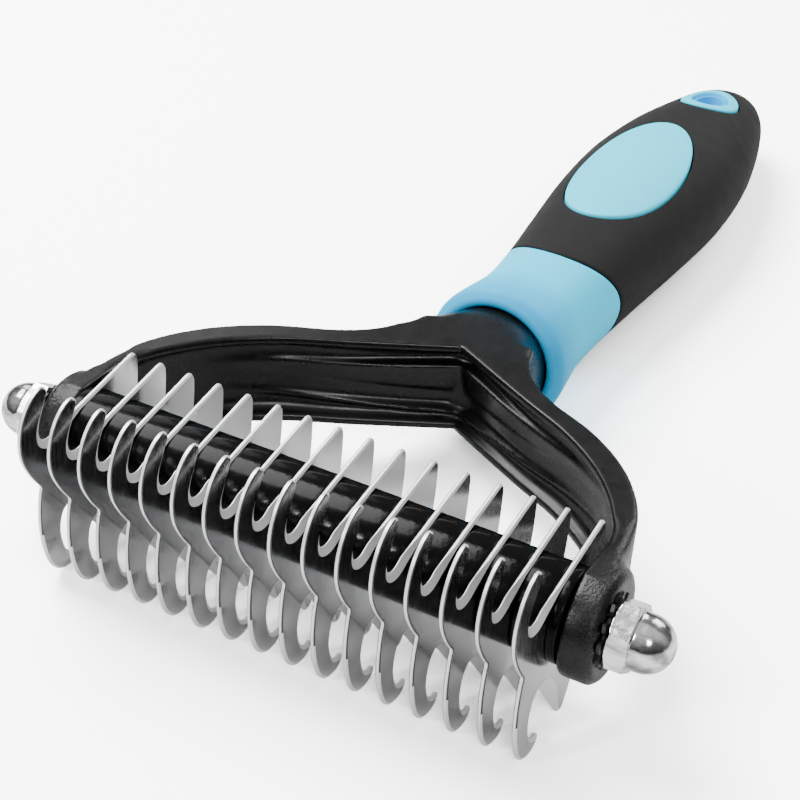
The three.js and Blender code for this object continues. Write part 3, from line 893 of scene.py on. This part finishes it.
def oval_patch(oval, grow, profile, inner=None):
    """A closed oval solid that follows the handle's top. profile is a list of (height over the
    surface, distance in from the edge), from the outer bottom corner to the top; inner is the
    half length and half width of a hole through it."""
    steps = 96
    fill = spread(0, 1, 16)
    rings = []

    def ring(half_length, half_width, height):
        points = []
        for j in range(steps):
            angle = 2 * math.pi * j / steps
            x = half_width * math.cos(angle)
            y = oval["y"] + half_length * math.sin(angle)
            points.append((x, y, top_z(x, y) + height))
        rings.append(points)

    outer = (oval["half_length"] + grow, oval["half_width"] + grow)
    hole = inner or (0.0, 0.0)
    bottom = profile[0][0]
    for t in fill:
        ring(mix(hole[0], outer[0], t), mix(hole[1], outer[1], t), bottom)
    for height, inset in profile:
        ring(outer[0] - inset, outer[1] - inset, height)
    last_height, last_inset = profile[-1]
    round_in = [(h, i) for h, i in reversed(profile[1:])] if inner else []
    end = (hole[0] + last_inset, hole[1] + last_inset) if inner else (0.0, 0.0)
    for t in fill[1:]:
        ring(mix(outer[0] - last_inset, end[0], t), mix(outer[1] - last_inset, end[1], t),
             last_height)
    for height, inset in round_in:
        ring(hole[0] + inset, hole[1] + inset, height)
    if inner:
        rings.append(rings[0])
    return [p for points in rings for p in points], ring_faces(len(rings), steps)


def oval_object(name, oval, grow, profile, inner=None):
    points, faces = oval_patch(oval, grow, profile, inner)
    return add_object(name, make_mesh(name, points, faces, sharp_degrees=30))


INLAY_ROUND = 0.3


def rounded_edge(depth, proud, radius):
    """Profile of an inlay: straight wall, then a rounded upper edge."""
    corner = [(proud - radius * (1 - math.sin(a)), radius * (1 - math.cos(a)))
              for a in spread(0, math.pi / 2, 8)]
    return [(-depth, 0.0), *corner]


def hang_hole_object(grow):
    half_length = BUSH["half_length"] + grow
    half_width = BUSH["half_width"] + grow
    reach = 25
    angles = [2 * math.pi * j / ROUND_STEPS for j in range(ROUND_STEPS)]
    points, faces = tube([[(half_width * math.cos(a), HANG["y"] + half_length * math.sin(a), z)
                           for a in angles] for z in (-reach, reach)])
    return add_object("hang_hole", make_mesh("hang_hole", points, faces, sharp_degrees=30))


def bush_piece():
    """Oval tube through the handle with rounded rims."""
    wall = BUSH["wall"]
    outer = (BUSH["half_length"], BUSH["half_width"])
    # (inset, drop) over a rim, from the outer wall to the middle and back to the inner one
    half_rim = [(0.0, 0.25), (0.1, 0.06), (0.25, 0.0)]
    profile = [*half_rim, *((wall - inset, drop) for inset, drop in reversed(half_rim))]
    rings = []
    for surface, sign in ((top_z, -1), (under_z, 1)):
        walk = profile if sign < 0 else list(reversed(profile))
        for inset, drop in walk:
            ring = []
            for j in range(ROUND_STEPS):
                angle = 2 * math.pi * j / ROUND_STEPS
                x = (outer[1] - inset) * math.cos(angle)
                y = HANG["y"] + (outer[0] - inset) * math.sin(angle)
                ring.append((x, y, surface(x, y) + sign * (BUSH["recess"] + drop)))
            rings.append(ring)
    rings.append(rings[0])
    points = [p for ring in rings for p in ring]
    mesh = make_mesh("hang_bush_look", points, ring_faces(len(rings), ROUND_STEPS),
                     sharp_degrees=40)
    mesh.materials.append(DEEP_BLUE)
    return add_object("hang_bush_look", mesh)


# ---- assembly ----
def body_holding(node):
    for body, nodes in frame["record"]["behaviour"]["bodies"].items():
        if node in nodes:
            return body
    raise ValueError(node)


def add_copies(nodes, mesh):
    for node in nodes:
        piece = add_object(f"{node}_look", mesh, middle(node).x - AXLE.x)
        stand_for(piece, node, body_holding(node))


add_copies(BLADES, blade_mesh())
spacer_low, spacer_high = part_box(SPACERS[0])
add_copies(SPACERS, spacer_mesh("spacer", (spacer_high[0] - spacer_low[0]) / MM))
end_low, end_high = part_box("end_spacer_right")
add_copies([f"end_spacer_{side}" for side in SIDES],
           spacer_mesh("end_spacer", (end_high[0] - end_low[0]) / MM))

stand_for(add_object("axle_look", axle_mesh()), "axle_rod", "rake")
for side, sign in SIDES.items():
    washer = add_object(f"lock_washer_{side}_look", washer_mesh(sign),
                        sign * (LUG["outer_x"] + WASHER_GAP) * MM)
    stand_for(washer, f"lock_washer_{side}", body_holding(f"lock_washer_{side}"))
    nut = add_object(f"cap_nut_{side}_look", nut_mesh(sign), sign * NUT_FACE_X * MM)
    stand_for(nut, f"cap_nut_{side}", body_holding(f"cap_nut_{side}"))

stand_for(yoke_piece(), "yoke", "rake")
stand_for(grip_piece(), "grip", "rake")
stand_for(collar_piece(), "collar", "rake")
pad = oval_object("thumb_pad_look", PAD, 0.0, rounded_edge(PAD["depth"], PAD["proud"], INLAY_ROUND))
pad.data.materials.append(SKY_PAD)
stand_for(pad, "thumb_pad", "rake")
hole_size = (BUSH["half_length"] + FIT_GAP, BUSH["half_width"] + FIT_GAP)
ring = oval_object("hang_ring_look", HANG, 0.0,
                   rounded_edge(HANG["depth"], HANG["proud"], INLAY_ROUND), hole_size)
ring.data.materials.append(SKY_PAD)
stand_for(ring, "hang_ring", "rake")
stand_for(bush_piece(), "hang_bush", "rake")

for node, material in (("handle_core", SOFT_GRIP), ("tang_pin", NUT_CHROME)):
    frame["nodes"][node].data.materials.clear()
    frame["nodes"][node].data.materials.append(material)


# ---- floor, light and camera ----
def pale_floor():
    """A pale floor through the hooks' tips and up to the underside of the handle."""
    hook_low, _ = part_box(BLADES[0])
    hook_y = AXLE.y + HOOK_TIP_Y * MM
    slopes = [(AXLE.z + (z - half_height) * MM - hook_low[2]) / (AXLE.y + y * MM - hook_y)
              for y, z, _, half_height in (catmull(HANDLE_ROWS, u)
                                           for u in spread(0, LAST_ROW - 1, 60))]
    tilt = math.atan(min(slopes))
    size = 3.0  # metres
    mesh = bpy.data.meshes.new("floor")
    corners = [(-size, -size, 0), (size, -size, 0), (size, size, 0), (-size, size, 0)]
    mesh.from_pydata(corners, [], [(0, 1, 2, 3)])
    floor = bpy.data.objects.new("floor", mesh)
    bpy.context.scene.collection.objects.link(floor)
    floor.location = (0, hook_y, hook_low[2])
    floor.rotation_euler = (tilt, 0, 0)
    paper = (0.7, 0.7, 0.7)
    overexposed = (3.2, 3.2, 3.2)  # to the camera alone, so that the steel keeps its greys
    finish = Finish("floor_paper", paper, 0.0, 0.9)
    to_camera = finish.nodes.new("ShaderNodeLightPath").outputs["Is Camera Ray"]
    finish.tint(to_camera, paper, overexposed)
    mesh.materials.append(finish.material)


LIT_SPOT = Vector((0, 0.03, 0))  # metres from the axle


def area_light(name, spot, size, power):
    """A square soft light at spot, in metres from the axle, aimed at the rake's head."""
    data = bpy.data.lights.new(name, "AREA")
    data.shape = "SQUARE"
    data.size = size
    data.energy = power
    light = bpy.data.objects.new(name, data)
    bpy.context.scene.collection.objects.link(light)
    light.location = AXLE + Vector(spot)
    aim = LIT_SPOT - Vector(spot)
    light.rotation_euler = aim.to_track_quat("-Z", "Y").to_euler()


def soft_world():
    """A bright sky over a darker horizon, which gives the polished parts their contrast."""
    world = bpy.data.worlds.new("studio")
    bpy.context.scene.world = world
    world.use_nodes = True
    nodes = world.node_tree.nodes
    links = world.node_tree.links
    direction = nodes.new("ShaderNodeTexCoord").outputs["Generated"]
    height = nodes.new("ShaderNodeSeparateXYZ")
    links.new(direction, height.inputs[0])
    fade = nodes.new("ShaderNodeMapRange")
    fade.inputs["From Min"].default_value = 0.05
    fade.inputs["From Max"].default_value = 0.75
    fade.inputs["To Min"].default_value = 0.08
    fade.inputs["To Max"].default_value = 1.0
    links.new(height.outputs["Z"], fade.inputs["Value"])
    background = nodes["Background"]
    background.inputs["Strength"].default_value = 0.6
    links.new(fade.outputs["Result"], background.inputs["Color"])


# Angles in degrees; lens, distance and target in millimetres, the target from the axle.
CAMERA = {"azimuth": 26.06, "elevation": 31.59, "roll": 4.66, "distance": 252.0, "lens": 84.2,
          "target": (5.1, 12.4, 14.2)}


def photo_camera():
    azimuth, elevation, roll = (math.radians(CAMERA[k]) for k in ("azimuth", "elevation", "roll"))
    forward = Vector((-math.sin(azimuth) * math.cos(elevation),
                      math.cos(azimuth) * math.cos(elevation), -math.sin(elevation)))
    level = Vector((math.cos(azimuth), math.sin(azimuth), 0))
    rise = level.cross(forward)
    right = level * math.cos(roll) + rise * math.sin(roll)
    up = right.cross(forward)
    data = bpy.data.cameras.new("camera")
    data.lens = CAMERA["lens"]
    data.sensor_width = 36
    data.clip_start = 0.01
    camera = bpy.data.objects.new("camera", data)
    bpy.context.scene.collection.objects.link(camera)
    target = AXLE + Vector(CAMERA["target"]) * MM
    turn = Matrix((right, up, -forward)).transposed().to_4x4()
    place = target - forward * CAMERA["distance"] * MM
    camera.matrix_world = Matrix.Translation(place) @ turn
    bpy.context.scene.camera = camera


pale_floor()
soft_world()
area_light("key", (-0.30, 0.05, 0.50), 0.35, 6.5)
area_light("front", (0.30, -0.44, 0.42), 0.16, 2.0)
area_light("back", (0.15, 0.50, 0.40), 0.30, 2.0)
area_light("rims", (-0.41, 0.45, 0.35), 0.25, 0.35)
area_light("spark", (-0.22, -0.46, 0.31), 0.05, 1.0)
photo_camera()
